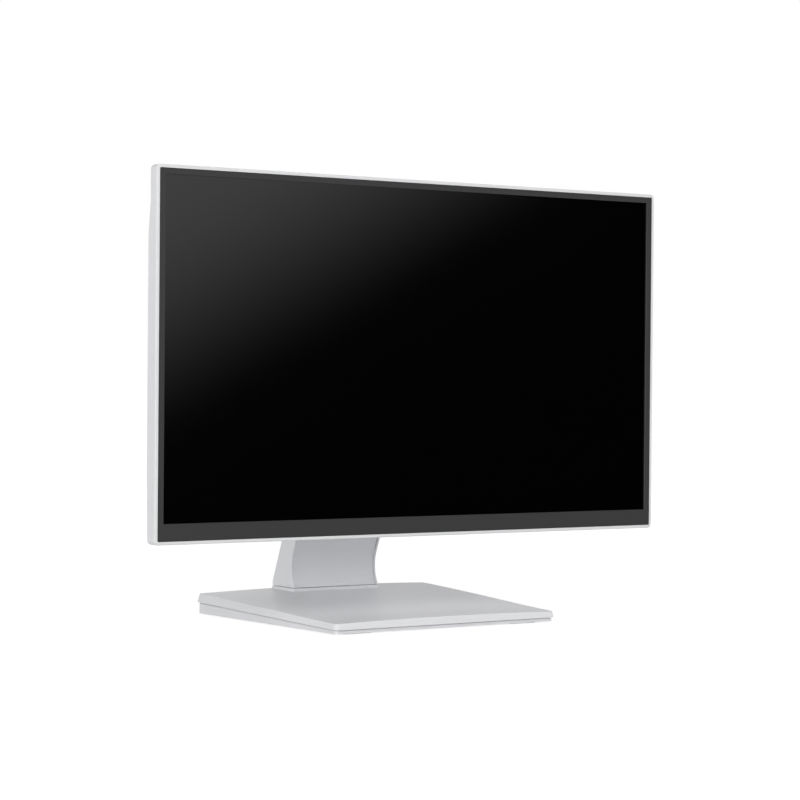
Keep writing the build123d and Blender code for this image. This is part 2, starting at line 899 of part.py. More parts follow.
def neck_rear_shell():
    """White moulding: the neck's back, both sides and the hood over the hinge."""
    with BuildPart() as shell:
        with BuildSketch(Plane.YZ):
            add(outer_sketch)
        extrude(amount=neck_half, both=True)
        fillet(shell.edges().filter_by(lambda e: abs(abs(e.center().X) - neck_half) < 0.01
                                       and e.center().Z > neck_foot + 1), 1.0)
        with BuildSketch(Plane.YZ):
            add(inner_sketch)
        extrude(amount=inner_half, both=True, mode=Mode.SUBTRACT)
        with BuildSketch(Plane.YZ):
            add(front_zone)
        extrude(amount=inner_half, both=True, mode=Mode.SUBTRACT)
        with BuildSketch(Plane.YZ):
            with Locations(side(60, (hood_shelf + hood_top) / 2)):
                Rectangle(40, hood_top - hood_shelf - 2 * neck_wall)
        extrude(amount=inner_half, both=True, mode=Mode.SUBTRACT)
    return shell


def neck_front_cover():
    """White moulding that closes the neck's hollow front, set just below the side walls' edges."""
    with BuildPart() as cover:
        with BuildSketch(Plane.YZ):
            add(recess_sketch)
        extrude(amount=inner_half - cover_gap, both=True)
        with BuildSketch(Plane.YZ):
            add(lining_sketch)
        extrude(amount=inner_half, both=True, mode=Mode.SUBTRACT)
        with BuildSketch(Plane.YZ):
            add(front_zone)
        extrude(amount=neck_half, both=True, mode=Mode.INTERSECT)
    return cover


column_half = 24.9
column_foot = weight_low + weight_thick + 0.1


def neck_column():
    """Cast upright inside the neck, with a foot plate bolted to the base."""
    top = 156.0
    middle = (neck_front_at(56) + neck_rear - slope * 27) / 2
    with BuildPart() as column:
        with BuildSketch(Plane.YZ):
            with BuildLine():
                Polyline(side(middle - 6 + slope * 16, 40), side(middle - 6 - slope * 100, top),
                         side(middle + 5 - slope * 100, top), side(middle + 5 + slope * 16, 40),
                         side(middle + 5 + slope * 16, column_foot),
                         side(middle - 6 + slope * 16, column_foot), close=True)
            make_face()
        extrude(amount=column_half, both=True)
        with BuildSketch(Plane(origin=(0, face_y + 158, column_foot), z_dir=(0, 0, 1))):
            RectangleRounded(84, 34, 4)
        extrude(amount=5)
        with BuildSketch(Plane.XY.offset(column_foot - 1)):
            with Locations(*bolt_places):
                Circle(2.1)
        extrude(amount=8, mode=Mode.SUBTRACT)
        with BuildSketch(Plane.YZ.offset(-column_half - 1)):
            with Locations(*bracket_screw_places):
                Circle(1.6)
        extrude(amount=9, mode=Mode.SUBTRACT)
        with BuildSketch(Plane.YZ.offset(column_half - 8)):
            with Locations(*bracket_screw_places):
                Circle(1.6)
        extrude(amount=9, mode=Mode.SUBTRACT)
    return column


bolt_places = [(x, face_y + depth) for x in (-34, 34) for depth in (148, 168)]
bracket_screw_places = [side(122, 136), side(116, 150)]


def hinge_bracket():
    """Steel side plates on the column, joined by a web, with ears round the shaft."""
    ears = both_sides(ear_outline(hinge_depth - 2, ear_r), bracket_ear_x, bracket_ear_wall,
                      shaft_r + running_gap)
    plate_sketch = neck_outline(4.5)
    with BuildPart() as bracket:
        for start in (bracket_ear_x, -bracket_ear_x - bracket_ear_wall):
            with BuildSketch(Plane.YZ.offset(start)):
                add(plate_sketch)
                with Locations(side(105, 165)):
                    Rectangle(62, 74, mode=Mode.INTERSECT)
            extrude(amount=bracket_ear_wall)
        with BuildSketch(Plane.XY.offset(156.2)):
            with Locations((0, face_y + 112)):
                Rectangle(2 * bracket_ear_x, 10)
        extrude(amount=3)
        add(ears)
        with BuildSketch(Plane.YZ.offset(-60)):
            with Locations(side(hinge_depth, hinge_z)):
                Circle(shaft_r + running_gap)
            with Locations(*bracket_screw_places):
                Circle(1.9)
        extrude(amount=120, mode=Mode.SUBTRACT)
    return bracket


def bracket_screws():
    """Screws through both side plates into the column."""
    outer = bracket_ear_x + bracket_ear_wall
    right = pan_screw(Plane.YZ.offset(outer), bracket_screw_places, 3.2, 1.8, 1.55, 10).part
    left_plane = Plane(origin=(-outer, 0, 0), x_dir=(0, -1, 0), z_dir=(-1, 0, 0))
    left = pan_screw(left_plane, mirrored(bracket_screw_places), 3.2, 1.8, 1.55, 10).part
    with BuildPart() as group:
        add(right)
        add(left)
    return group


finish(neck_rear_shell(), "neck_rear_shell")
finish(neck_front_cover(), "neck_front_cover")
finish(neck_column(), "neck_column")
finish(hinge_bracket(), "hinge_bracket")
finish(bracket_screws(), "bracket_screws")


# ======== Base ========
groove_plane = Plane(origin=(0, 0, groove_mid), x_dir=(1, 0, 0),
                     z_dir=(0, -math.sin(math.radians(groove_angle)),
                            math.cos(math.radians(groove_angle))))


def base_plan(inset):
    """Plan of the base, a little wider at the back, with rounded corners."""
    half_depth = base_depth / 2
    with BuildSketch() as plan:
        Polygon((-base_front_half, -half_depth), (base_front_half, -half_depth),
                (base_back_half, half_depth), (-base_back_half, half_depth))
        if inset:
            offset(amount=-inset, kind=Kind.INTERSECTION)
        fillet(plan.vertices(), 5.0 - min(inset, 3))
    return plan.sketch


def base_half_at(depth):
    """Half the base's width at a depth."""
    return base_front_half + (base_back_half - base_front_half) * (depth - base_front) / base_depth


def crown_volume(drop):
    """Everything under the plate's crowned top, lowered by a drop."""
    with BuildPart() as volume:
        for depth, edge_z, middle_z in crown:
            fall = (middle_z - edge_z) * (crown_half / base_half_at(depth)) ** 2
            with BuildSketch(behind(depth)):
                with BuildLine():
                    top = ThreePointArc((-crown_half, middle_z - fall - drop),
                                        (0, middle_z - drop),
                                        (crown_half, middle_z - fall - drop))
                    Polyline(top @ 1, (crown_half, -10), (-crown_half, -10), top @ 0)
                make_face()
        loft()
    return volume.part


def base_cover():
    """White crowned plate with a slanted edge, and the low collar that the neck stands on."""
    under_crown = crown_volume(0)
    under_lining = crown_volume(base_wall)
    plan = base_plan(0)
    inner_plan = base_plan(base_wall + overhang + 0.2)
    collar_low = 16.0
    collar_front = neck_front_at(neck_foot)
    flare = 3.0
    with BuildPart() as cover:
        with BuildSketch(groove_plane):
            add(plan)
        extrude(amount=15, taper=band_slant)
        add(under_crown, mode=Mode.INTERSECT)
        rim_edges = cover.faces().filter_by(GeomType.BSPLINE).sort_by(Axis.Z)[-1].edges()
        fillet(rim_edges, 0.6)
        with BuildSketch(Plane.XY.offset(collar_low)):
            with Locations((0, face_y + (collar_front - flare + neck_rear) / 2)):
                RectangleRounded(2 * neck_half + 2 * flare, neck_rear - collar_front + flare, 1.5)
        with BuildSketch(Plane.XY.offset(neck_foot - collar_gap)):
            with Locations((0, face_y + (collar_front + neck_rear) / 2)):
                RectangleRounded(2 * neck_half, neck_rear - collar_front, 1.0)
        loft()
    cavity = lining_of_cover(under_lining, inner_plan)
    with BuildPart() as hollow:
        add(cover.part)
        add(cavity, mode=Mode.SUBTRACT)
        with BuildSketch(Plane.XY.offset(neck_foot - 6)):
            with Locations((0, face_y + (collar_front + neck_rear) / 2)):
                Rectangle(2 * inner_half, neck_rear - collar_front - 2 * neck_wall)
        extrude(amount=10, mode=Mode.SUBTRACT)
    return hollow


def lining_of_cover(under_lining, inner_plan):
    """The space inside the plate."""
    with BuildPart() as space:
        with BuildSketch(groove_plane.offset(-1)):
            add(inner_plan)
        extrude(amount=20)
        add(under_lining, mode=Mode.INTERSECT)
    return space.part


def below_groove(gap):
    """Everything under the sloping groove, for trimming the tray."""
    with BuildPart() as wedge:
        with BuildSketch(groove_plane.offset(-gap)):
            Rectangle(300, 320)
        extrude(amount=-40)
    return wedge.part


foot_pads = [(x, y) for x in (-90.0, 90.0) for y in (-98.0, 98.0)]


def base_tray():
    """White moulded tray under the plate, open at the top, with holes for the neck's bolts."""
    body_wedge = below_groove(reveal_high)
    lip_wedge = below_groove(0.2)
    body = base_plan(overhang)
    lip = base_plan(overhang + reveal_deep)
    inner = base_plan(overhang + 2.2)
    with BuildPart() as tray:
        with BuildSketch(Plane.XY.offset(foot_h)):
            add(body)
        extrude(amount=20)
        add(body_wedge, mode=Mode.INTERSECT)
        with BuildSketch(Plane.XY.offset(foot_h)):
            add(lip)
        extrude(amount=20)
        add(lip_wedge, mode=Mode.INTERSECT)
        with BuildSketch(Plane.XY.offset(foot_h + 2.0)):
            add(inner)
        extrude(amount=20, mode=Mode.SUBTRACT)
        with BuildSketch(Plane.XY):
            with Locations(*bolt_places):
                Circle(5.0)
        extrude(amount=6, mode=Mode.SUBTRACT)
    return tray


def base_weight():
    """Steel plate that keeps the stand from tipping, with the neck's bolt holes."""
    with BuildPart() as plate:
        with BuildSketch(Plane.XY.offset(weight_low)):
            with Locations((0, 8.5)):
                RectangleRounded(200, 195, 8)
            with Locations(*bolt_places):
                Circle(2.8, mode=Mode.SUBTRACT)
        extrude(amount=weight_thick)
    return plate


def rubber_feet():
    """Four soft pads glued under the corners of the tray."""
    with BuildPart() as pads:
        with BuildSketch(Plane.XY):
            with Locations(*foot_pads):
                RectangleRounded(34, 14, 5)
        extrude(amount=foot_h)
        fillet(pads.faces().group_by(Axis.Z)[0].edges(), 0.4)
    return pads


def base_bolts():
    """Bolts from below, through the weight into the foot of the column."""
    with BuildPart() as group:
        with BuildSketch(Plane.XY.offset(weight_low - 2.0)):
            with Locations(*bolt_places):
                Circle(4.4)
        extrude(amount=2.0)
        with BuildSketch(Plane.XY.offset(weight_low)):
            with Locations(*bolt_places):
                Circle(2.05)
        extrude(amount=8.5)
        with BuildSketch(Plane.XY.offset(weight_low - 2.0)):
            with Locations(*bolt_places):
                RegularPolygon(2.2, 6)
        extrude(amount=1.4, mode=Mode.SUBTRACT)
    return group


finish(base_cover(), "base_cover")
finish(base_tray(), "base_tray")
finish(base_weight(), "base_weight")
finish(rubber_feet(), "rubber_feet")
finish(base_bolts(), "base_bolts")
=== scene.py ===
"""Looks for a flat desktop monitor on a tilting stand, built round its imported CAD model."""

import math

import bmesh
import bpy
from mathutils import Matrix, Vector


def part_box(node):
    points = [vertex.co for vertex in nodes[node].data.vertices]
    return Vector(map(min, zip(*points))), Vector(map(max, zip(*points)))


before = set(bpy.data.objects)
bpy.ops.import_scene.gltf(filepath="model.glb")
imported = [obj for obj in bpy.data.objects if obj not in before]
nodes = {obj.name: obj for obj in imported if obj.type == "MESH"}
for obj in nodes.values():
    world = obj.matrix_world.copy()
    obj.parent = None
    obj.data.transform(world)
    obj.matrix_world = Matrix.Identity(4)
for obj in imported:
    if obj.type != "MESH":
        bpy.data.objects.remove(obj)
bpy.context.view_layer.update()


# ======== Screen glass ========
# The front of the display panel: two sheets of glass with a black polariser film on the outside.
# The film is hard and nearly smooth, and the black grid round the cells lies just under it.
def new_material(name, **sockets):
    """A material with one Principled shader, whose sockets take the given constants."""
    material = bpy.data.materials.new(name)
    material.use_nodes = True
    tree = material.node_tree
    shader = tree.nodes["Principled BSDF"]
    for label, value in sockets.items():
        shader.inputs[label.replace("_", " ").title().replace("Ior", "IOR")].default_value = value
    return material, tree, shader


def add_node(tree, kind, inputs=None, **settings):
    """A node with its settings. Each named input takes a constant or a link from another node."""
    node = tree.nodes.new(kind)
    for label, value in settings.items():
        setattr(node, label, value)
    for label, value in (inputs or {}).items():
        if isinstance(value, bpy.types.NodeSocket):
            tree.links.new(value, node.inputs[label])
        else:
            node.inputs[label].default_value = value
    return node


def maths(tree, operation, *values):
    """One Math node, and its result."""
    return add_node(tree, "ShaderNodeMath", dict(enumerate(values)), operation=operation).outputs[0]


def axes(tree):
    """The three Object coordinates as separate values, in metres."""
    place = add_node(tree, "ShaderNodeTexCoord").outputs["Object"]
    return add_node(tree, "ShaderNodeSeparateXYZ", {"Vector": place}).outputs


def band(tree, value, low, high):
    """1 where the value lies between two limits, and 0 elsewhere."""
    over = maths(tree, "GREATER_THAN", value, low)
    under = maths(tree, "LESS_THAN", value, high)
    return maths(tree, "MULTIPLY", over, under)


def dress(material, *names):
    """Give CAD nodes this material in every slot."""
    for name in names:
        slots = nodes[name].material_slots
        for slot in slots:
            slot.material = material
        if not slots:
            nodes[name].data.materials.append(material)


cell_pitch = 0.0002745
grid_line = 0.16
grid_black = (0.0004, 0.0004, 0.0004, 1)
cell_black = (0.0012, 0.0012, 0.0014, 1)
screen_film, tree, shader = new_material("screen_film", ior=1.5)
x, y, z = axes(tree)
column = maths(tree, "FRACT", maths(tree, "DIVIDE", x, cell_pitch))
row = maths(tree, "FRACT", maths(tree, "DIVIDE", z, cell_pitch))
lit_cell = maths(tree, "MULTIPLY", maths(tree, "GREATER_THAN", column, grid_line),
                 maths(tree, "GREATER_THAN", row, grid_line))
cells = add_node(tree, "ShaderNodeMix", {0: lit_cell, 6: grid_black, 7: cell_black}, data_type="RGBA")
tree.links.new(cells.outputs[2], shader.inputs["Base Color"])
place = add_node(tree, "ShaderNodeTexCoord").outputs["Object"]
smear = add_node(tree, "ShaderNodeTexNoise", {"Vector": place, "Scale": 7.0, "Detail": 3.0})
haze = add_node(tree, "ShaderNodeMapRange", {"Value": smear.outputs[0], "To Min": 0.07, "To Max": 0.10})
tree.links.new(haze.outputs[0], shader.inputs["Roughness"])
dress(screen_film, "lcd_glass")


# ======== Backlight: films, light guide, reflector and LED bar ========
# Thin milky sheets over a clear acrylic plate, with a white sheet behind it. The plate carries
# rows of printed dots, all of one size here; on the real plate they grow away from the LEDs along its lower
# edge.
def new_group(name, inputs, outputs):
    """A shader group with named sockets: its tree, and the nodes at its two ends."""
    tree = bpy.data.node_groups.new(name, "ShaderNodeTree")
    for label, kind, value in inputs:
        socket = tree.interface.new_socket(label, in_out="INPUT", socket_type=kind)
        socket.default_value = value
    for label, kind in outputs:
        tree.interface.new_socket(label, in_out="OUTPUT", socket_type=kind)
    return tree, tree.nodes.new("NodeGroupInput").outputs, tree.nodes.new("NodeGroupOutput").inputs


def use_group(tree, shader, group, bump=0.0, **values):
    """Put a group in a material and join its outputs to the shader's sockets of the same names."""
    inputs = {label.replace("_", " ").title(): value for label, value in values.items()}
    node = add_node(tree, "ShaderNodeGroup", node_tree=group)
    for label, value in inputs.items():
        node.inputs[label].default_value = value
    for label in ("Base Color", "Roughness", "Metallic"):
        if label in node.outputs:
            tree.links.new(node.outputs[label], shader.inputs[label])
    if bump:
        relief = add_node(tree, "ShaderNodeBump", {"Height": node.outputs["Height"]})
        relief.inputs["Distance"].default_value = bump
        tree.links.new(relief.outputs["Normal"], shader.inputs["Normal"])
    return node


FLOAT = "NodeSocketFloat"
COLOUR = "NodeSocketColor"
VECTOR = "NodeSocketVector"

dot_sheet, given, result = new_group(
    "dot_sheet",
    [("Sheet", COLOUR, (0.9, 0.9, 0.9, 1)), ("Dots", COLOUR, (1, 1, 1, 1)),
     ("Pitch", FLOAT, 0.003), ("Dot Size", FLOAT, 0.3)],
    [("Base Color", COLOUR), ("Roughness", FLOAT), ("Height", FLOAT)])
across, _, up = axes(dot_sheet)
dot_x = maths(dot_sheet, "PINGPONG", maths(dot_sheet, "DIVIDE", across, given["Pitch"]), 0.5)
dot_z = maths(dot_sheet, "PINGPONG", maths(dot_sheet, "DIVIDE", up, given["Pitch"]), 0.5)
reach = maths(dot_sheet, "SQRT", maths(dot_sheet, "ADD", maths(dot_sheet, "POWER", dot_x, 2.0),
                                       maths(dot_sheet, "POWER", dot_z, 2.0)))
in_dot = maths(dot_sheet, "LESS_THAN", reach, given["Dot Size"])
paint = add_node(dot_sheet, "ShaderNodeMix", {0: in_dot, 6: given["Sheet"], 7: given["Dots"]},
                 data_type="RGBA")
dot_sheet.links.new(paint.outputs[2], result["Base Color"])
dot_sheet.links.new(maths(dot_sheet, "MULTIPLY_ADD", in_dot, 0.25, 0.3), result["Roughness"])
dot_sheet.links.new(in_dot, result["Height"])

for name, sheet, dots, pitch, size in [
        ("optical_films", (0.88, 0.89, 0.90, 1), (0.93, 0.93, 0.94, 1), 0.0008, 0.35),
        ("light_guide", (0.82, 0.88, 0.90, 1), (0.95, 0.96, 0.97, 1), 0.0030, 0.22),
        ("reflector_film", (0.93, 0.93, 0.92, 1), (0.90, 0.90, 0.89, 1), 0.0015, 0.18)]:
    material, tree, shader = new_material(name)
    use_group(tree, shader, dot_sheet, bump=0.00002, sheet=sheet, dots=dots, pitch=pitch,
              dot_size=size)
    dress(material, name)

led_pitch = 0.0092
phosphor, tree, shader = new_material("led_phosphor", roughness=0.4)
x, y, z = axes(tree)
lamp = maths(tree, "PINGPONG", maths(tree, "DIVIDE", x, led_pitch), 0.5)
bright = maths(tree, "GREATER_THAN", lamp, 0.3)
glow = add_node(tree, "ShaderNodeMix", {0: bright, 6: (0.85, 0.85, 0.83, 1), 7: (0.93, 0.78, 0.25, 1)},
                data_type="RGBA")
tree.links.new(glow.outputs[2], shader.inputs["Base Color"])
dress(phosphor, "led_bar")


# ======== Moulded plastic ========
# Every plastic part comes from a steel mould whose faces were spark-eroded, which leaves a fine,
# even pebble in the skin. Under it the colour drifts a little where the melt flowed and cooled.
moulded_skin, given, result = new_group(
    "moulded_skin",
    [("Colour", COLOUR, (0.8, 0.8, 0.8, 1)), ("Flow Colour", COLOUR, (0.76, 0.76, 0.76, 1)),
     ("Gloss Low", FLOAT, 0.4), ("Gloss High", FLOAT, 0.5), ("Pebble", FLOAT, 0.0006)],
    [("Base Color", COLOUR), ("Roughness", FLOAT), ("Height", FLOAT)])
place = add_node(moulded_skin, "ShaderNodeTexCoord").outputs["Object"]
flow = add_node(moulded_skin, "ShaderNodeTexNoise",
                {"Vector": place, "Scale": 5.0, "Detail": 4.0, "Roughness": 0.55}).outputs[0]
density = maths(moulded_skin, "DIVIDE", 1.0, given["Pebble"])
pebbles = add_node(moulded_skin, "ShaderNodeTexVoronoi", {"Vector": place, "Scale": density},
                   feature="SMOOTH_F1").outputs["Distance"]
dust = add_node(moulded_skin, "ShaderNodeTexNoise",
                {"Vector": place, "Scale": density, "Detail": 2.0}).outputs[0]
skin = maths(moulded_skin, "ADD", pebbles, maths(moulded_skin, "MULTIPLY", dust, 0.6))
drift = add_node(moulded_skin, "ShaderNodeMapRange",
                 {"Value": flow, "From Min": 0.3, "From Max": 0.7}).outputs[0]
tone = add_node(moulded_skin, "ShaderNodeMix",
                {0: drift, 6: given["Colour"], 7: given["Flow Colour"]}, data_type="RGBA")
moulded_skin.links.new(tone.outputs[2], result["Base Color"])
sheen = add_node(moulded_skin, "ShaderNodeMapRange",
                 {"Value": flow, "From Min": 0.3, "From Max": 0.7,
                  "To Min": given["Gloss Low"], "To Max": given["Gloss High"]}).outputs[0]
moulded_skin.links.new(sheen, result["Roughness"])
moulded_skin.links.new(skin, result["Height"])


def moulded(name, colour, flow_colour, gloss, pebble, depth):
    """A moulded plastic: its colour and drift, its range of roughness, and its pebble."""
    material, tree, shader = new_material(name, ior=1.48)
    use_group(tree, shader, moulded_skin, bump=depth, colour=(*colour, 1),
              flow_colour=(*flow_colour, 1), gloss_low=gloss[0], gloss_high=gloss[1], pebble=pebble)
    return material


white = (0.795, 0.799, 0.817)
white_flow = (0.780, 0.784, 0.803)
black = (0.018, 0.018, 0.019)
black_flow = (0.026, 0.026, 0.027)
rim_plastic = moulded("rim_plastic", (0.80, 0.80, 0.805), white_flow, (0.32, 0.38), 0.0004, 0.000004)
cover_plastic = moulded("cover_plastic", white, white_flow, (0.46, 0.56), 0.0009, 0.00002)
stand_plastic = moulded("stand_plastic", white, white_flow, (0.38, 0.46), 0.0005, 0.000006)
key_plastic = moulded("key_plastic", (0.74, 0.74, 0.75), (0.72, 0.72, 0.73), (0.34, 0.4), 0.0004,
                      0.000004)
bezel_plastic = moulded("bezel_plastic", (0.025, 0.025, 0.026), (0.022, 0.022, 0.023), (0.5, 0.58),
                        0.0005, 0.00001)
inner_plastic = moulded("inner_plastic", black, black_flow, (0.42, 0.55), 0.0008, 0.00001)
dress(rim_plastic, "front_frame")
dress(bezel_plastic, "front_bezel")
dress(cover_plastic, "rear_cover")
dress(key_plastic, "menu_key_1", "menu_key_2", "menu_key_3", "menu_key_4", "power_key")
dress(stand_plastic, "neck_rear_shell", "neck_front_cover", "base_cover", "base_tray")
dress(inner_plastic, "panel_mid_frame", "audio_socket")


# ======== Sheet metal and fasteners ========
# The panel's tray, the chassis, the brackets and the screws are steel or aluminium. Rolling and
# drawing leave fine lines one way, and the zinc plating leaves faint clouds over them.
plated_metal, given, result = new_group(
    "plated_metal",
    [("Colour", COLOUR, (0.66, 0.67, 0.68, 1)), ("Cloud Colour", COLOUR, (0.58, 0.6, 0.6, 1)),
     ("Gloss Low", FLOAT, 0.25), ("Gloss High", FLOAT, 0.4), ("Line Stretch", VECTOR, (60, 2500, 2500)),
     ("Cloud Scale", FLOAT, 40.0)],
    [("Base Color", COLOUR), ("Roughness", FLOAT), ("Height", FLOAT)])
place = add_node(plated_metal, "ShaderNodeTexCoord").outputs["Object"]
drawn = add_node(plated_metal, "ShaderNodeVectorMath", {0: place, 1: given["Line Stretch"]},
                 operation="MULTIPLY").outputs[0]
lines = add_node(plated_metal, "ShaderNodeTexNoise",
                 {"Vector": drawn, "Scale": 1.0, "Detail": 2.0}).outputs[0]
clouds = add_node(plated_metal, "ShaderNodeTexVoronoi",
                  {"Vector": place, "Scale": given["Cloud Scale"]}).outputs["Color"]
cloud = add_node(plated_metal, "ShaderNodeSeparateColor", {"Color": clouds}).outputs[0]
tone = add_node(plated_metal, "ShaderNodeMix",
                {0: cloud, 6: given["Colour"], 7: given["Cloud Colour"]}, data_type="RGBA")
plated_metal.links.new(tone.outputs[2], result["Base Color"])
polish = add_node(plated_metal, "ShaderNodeMapRange",
                  {"Value": lines, "From Min": 0.3, "From Max": 0.7,
                   "To Min": given["Gloss Low"], "To Max": given["Gloss High"]}).outputs[0]
plated_metal.links.new(polish, result["Roughness"])
plated_metal.links.new(lines, result["Height"])


def metal(name, colour, cloud_colour, gloss, stretch, clouds):
    """A metal part's finish: its colour and clouds, its range of roughness, and its lines."""
    material, tree, shader = new_material(name, metallic=1.0)
    use_group(tree, shader, plated_metal, bump=0.000004, colour=(*colour, 1),
              cloud_colour=(*cloud_colour, 1), gloss_low=gloss[0], gloss_high=gloss[1],
              line_stretch=stretch, cloud_scale=clouds)
    return material


along_x = (60, 2500, 2500)
along_z = (2500, 2500, 60)
even = (900, 900, 900)
tray_metal = metal("tray_metal", (0.74, 0.75, 0.76), (0.70, 0.71, 0.72), (0.22, 0.34), along_x, 12)
chassis_metal = metal("chassis_metal", (0.66, 0.67, 0.68), (0.58, 0.60, 0.60), (0.28, 0.42), along_x, 70)
hinge_metal = metal("hinge_metal", (0.42, 0.42, 0.43), (0.36, 0.36, 0.37), (0.35, 0.5), along_z, 90)
screw_metal = metal("screw_metal", (0.62, 0.62, 0.63), (0.54, 0.54, 0.55), (0.2, 0.32), even, 400)
cast_metal = metal("cast_metal", (0.52, 0.53, 0.54), (0.46, 0.47, 0.48), (0.45, 0.6), even, 250)
ballast_metal = metal("ballast_metal", (0.30, 0.29, 0.28), (0.22, 0.21, 0.20), (0.45, 0.65), along_x, 30)
dress(tray_metal, "panel_tray")
dress(chassis_metal, "chassis_tray", "socket_bracket")
dress(hinge_metal, "hinge_yoke", "hinge_bracket", "friction_washers")
dress(screw_metal, "wall_mount_standoffs", "stand_standoffs", "cover_screws", "board_screws",
      "yoke_screws", "hinge_shaft", "hinge_nuts", "bracket_screws", "base_bolts")
dress(cast_metal, "neck_column")
dress(ballast_metal, "base_weight")


# ======== Circuit boards and the flat cable ========
# Glass-fibre boards under green solder mask, with copper tracks that show as paler lines and
# plated pads that stay bare. What stands on a board is black, heat sinks too, though real sinks are bare
# metal.
board_print, given, result = new_group(
    "board_print",
    [("Mask", COLOUR, (0.01, 0.12, 0.05, 1)), ("Track", COLOUR, (0.02, 0.2, 0.09, 1)),
     ("Pad", COLOUR, (0.75, 0.6, 0.25, 1)), ("Pitch", FLOAT, 0.0025)],
    [("Base Color", COLOUR), ("Roughness", FLOAT), ("Metallic", FLOAT), ("Height", FLOAT)])
across, _, up = axes(board_print)
flat = add_node(board_print, "ShaderNodeCombineXYZ", {"X": across, "Y": up})
step = maths(board_print, "DIVIDE", 1.0, given["Pitch"])
grid = add_node(board_print, "ShaderNodeTexBrick",
                {"Vector": flat.outputs[0], "Scale": step, "Mortar Size": 0.05, "Brick Width": 3.0,
                 "Row Height": 0.5}).outputs["Fac"]
pads = add_node(board_print, "ShaderNodeTexVoronoi",
                {"Vector": flat.outputs[0], "Scale": step}, voronoi_dimensions="2D").outputs["Distance"]
pad = maths(board_print, "LESS_THAN", pads, 0.12)
copper = add_node(board_print, "ShaderNodeMix", {0: grid, 6: given["Mask"], 7: given["Track"]},
                  data_type="RGBA")
printed = add_node(board_print, "ShaderNodeMix", {0: pad, 6: copper.outputs[2], 7: given["Pad"]},
                   data_type="RGBA")
board_print.links.new(printed.outputs[2], result["Base Color"])
board_print.links.new(maths(board_print, "MULTIPLY_ADD", pad, -0.1, 0.38), result["Roughness"])
board_print.links.new(pad, result["Metallic"])
board_print.links.new(maths(board_print, "ADD", grid, pad), result["Height"])


def circuit_board(name, pitch, face):
    """A board's material, which turns to black moulded cases behind the board's back face."""
    material, tree, shader = new_material(name)
    node = use_group(tree, shader, board_print, bump=0.00004, pitch=pitch)
    _, deep, _ = axes(tree)
    case = maths(tree, "GREATER_THAN", deep, face)
    colour = add_node(tree, "ShaderNodeMix",
                      {0: case, 6: node.outputs["Base Color"], 7: (0.02, 0.02, 0.022, 1)},
                      data_type="RGBA")
    tree.links.new(colour.outputs[2], shader.inputs["Base Color"])
    bare = maths(tree, "SUBTRACT", 1.0, case)
    plated = maths(tree, "MULTIPLY", node.outputs["Metallic"], bare)
    tree.links.new(plated, shader.inputs["Metallic"])
    return material


boards_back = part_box("front_frame")[0].y + 0.01765
strip_wall = 0.00105
for name, pitch, case_start in [
        ("power_board", 0.004, boards_back), ("main_board", 0.0022, boards_back),
        ("timing_board", 0.0018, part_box("timing_board")[0].y + strip_wall),
        ("key_board", 0.002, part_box("key_board")[0].y + strip_wall)]:
    dress(circuit_board(name, pitch, case_start), name)

cable_film, tree, shader = new_material("cable_film", roughness=0.35)
x, y, z = axes(tree)
wires = maths(tree, "PINGPONG", maths(tree, "DIVIDE", x, 0.001), 0.5)
wire = maths(tree, "GREATER_THAN", wires, 0.25)
amber = add_node(tree, "ShaderNodeMix", {0: wire, 6: (0.55, 0.27, 0.06, 1), 7: (0.72, 0.45, 0.16, 1)},
                 data_type="RGBA")
tree.links.new(amber.outputs[2], shader.inputs["Base Color"])
dress(cable_film, "panel_flex_cable")


# ======== Sockets ========
# Signal sockets are folded tin-plated shells round a black tongue. The mains inlet is a black
# moulding with three plated blades, and the D-shaped socket has a blue insert.
def two_finishes(name, mask_of, first, second):
    """A material that changes from a first finish to a second where a mask is 1."""
    material, tree, shader = new_material(name)
    mask = mask_of(tree, *axes(tree))
    place = add_node(tree, "ShaderNodeTexCoord").outputs["Object"]
    fleck = add_node(tree, "ShaderNodeTexNoise", {"Vector": place, "Scale": 900.0, "Detail": 2.0})
    colour = add_node(tree, "ShaderNodeMix", {0: mask, 6: (*first[0], 1), 7: (*second[0], 1)},
                      data_type="RGBA")
    gloss = maths(tree, "MULTIPLY_ADD", mask, second[1] - first[1], first[1])
    gloss = maths(tree, "MULTIPLY_ADD", fleck.outputs[0], 0.12, gloss)
    shine = maths(tree, "MULTIPLY_ADD", mask, second[2] - first[2], first[2])
    tree.links.new(colour.outputs[2], shader.inputs["Base Color"])
    tree.links.new(gloss, shader.inputs["Roughness"])
    tree.links.new(shine, shader.inputs["Metallic"])
    return material


tin = ((0.68, 0.68, 0.67), 0.22, 1.0)
black_case = ((0.02, 0.02, 0.02), 0.4, 0.0)
blue_insert = ((0.02, 0.07, 0.32), 0.38, 0.0)
shell_wall = 0.0007


def inside_shell(name):
    """A mask maker: 1 inside a socket's metal shell, where its tongue stands."""
    low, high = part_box(name)

    def mask(tree, x, y, z):
        within = band(tree, x, low.x + shell_wall, high.x - shell_wall)
        return maths(tree, "MULTIPLY", within, band(tree, y, low.y + shell_wall, high.y - shell_wall))
    return mask


def blades(tree, x, y, z):
    """1 on the mains inlet's three blades, which stand clear of the well's walls."""
    low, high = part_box("mains_inlet")
    mid_x = (low.x + high.x) / 2
    mid_y = (low.y + high.y) / 2
    spread = maths(tree, "ABSOLUTE", maths(tree, "SUBTRACT", x, mid_x))
    pair = maths(tree, "MULTIPLY", band(tree, spread, 0.0059, 0.0081),
                 band(tree, y, mid_y - 0.0001, mid_y + 0.0041))
    earth = maths(tree, "MULTIPLY", maths(tree, "LESS_THAN", spread, 0.0011),
                  band(tree, y, mid_y - 0.0041, mid_y + 0.0001))
    pins = maths(tree, "MAXIMUM", pair, earth)
    return maths(tree, "MULTIPLY", pins, maths(tree, "LESS_THAN", z, high.z - 0.0052))


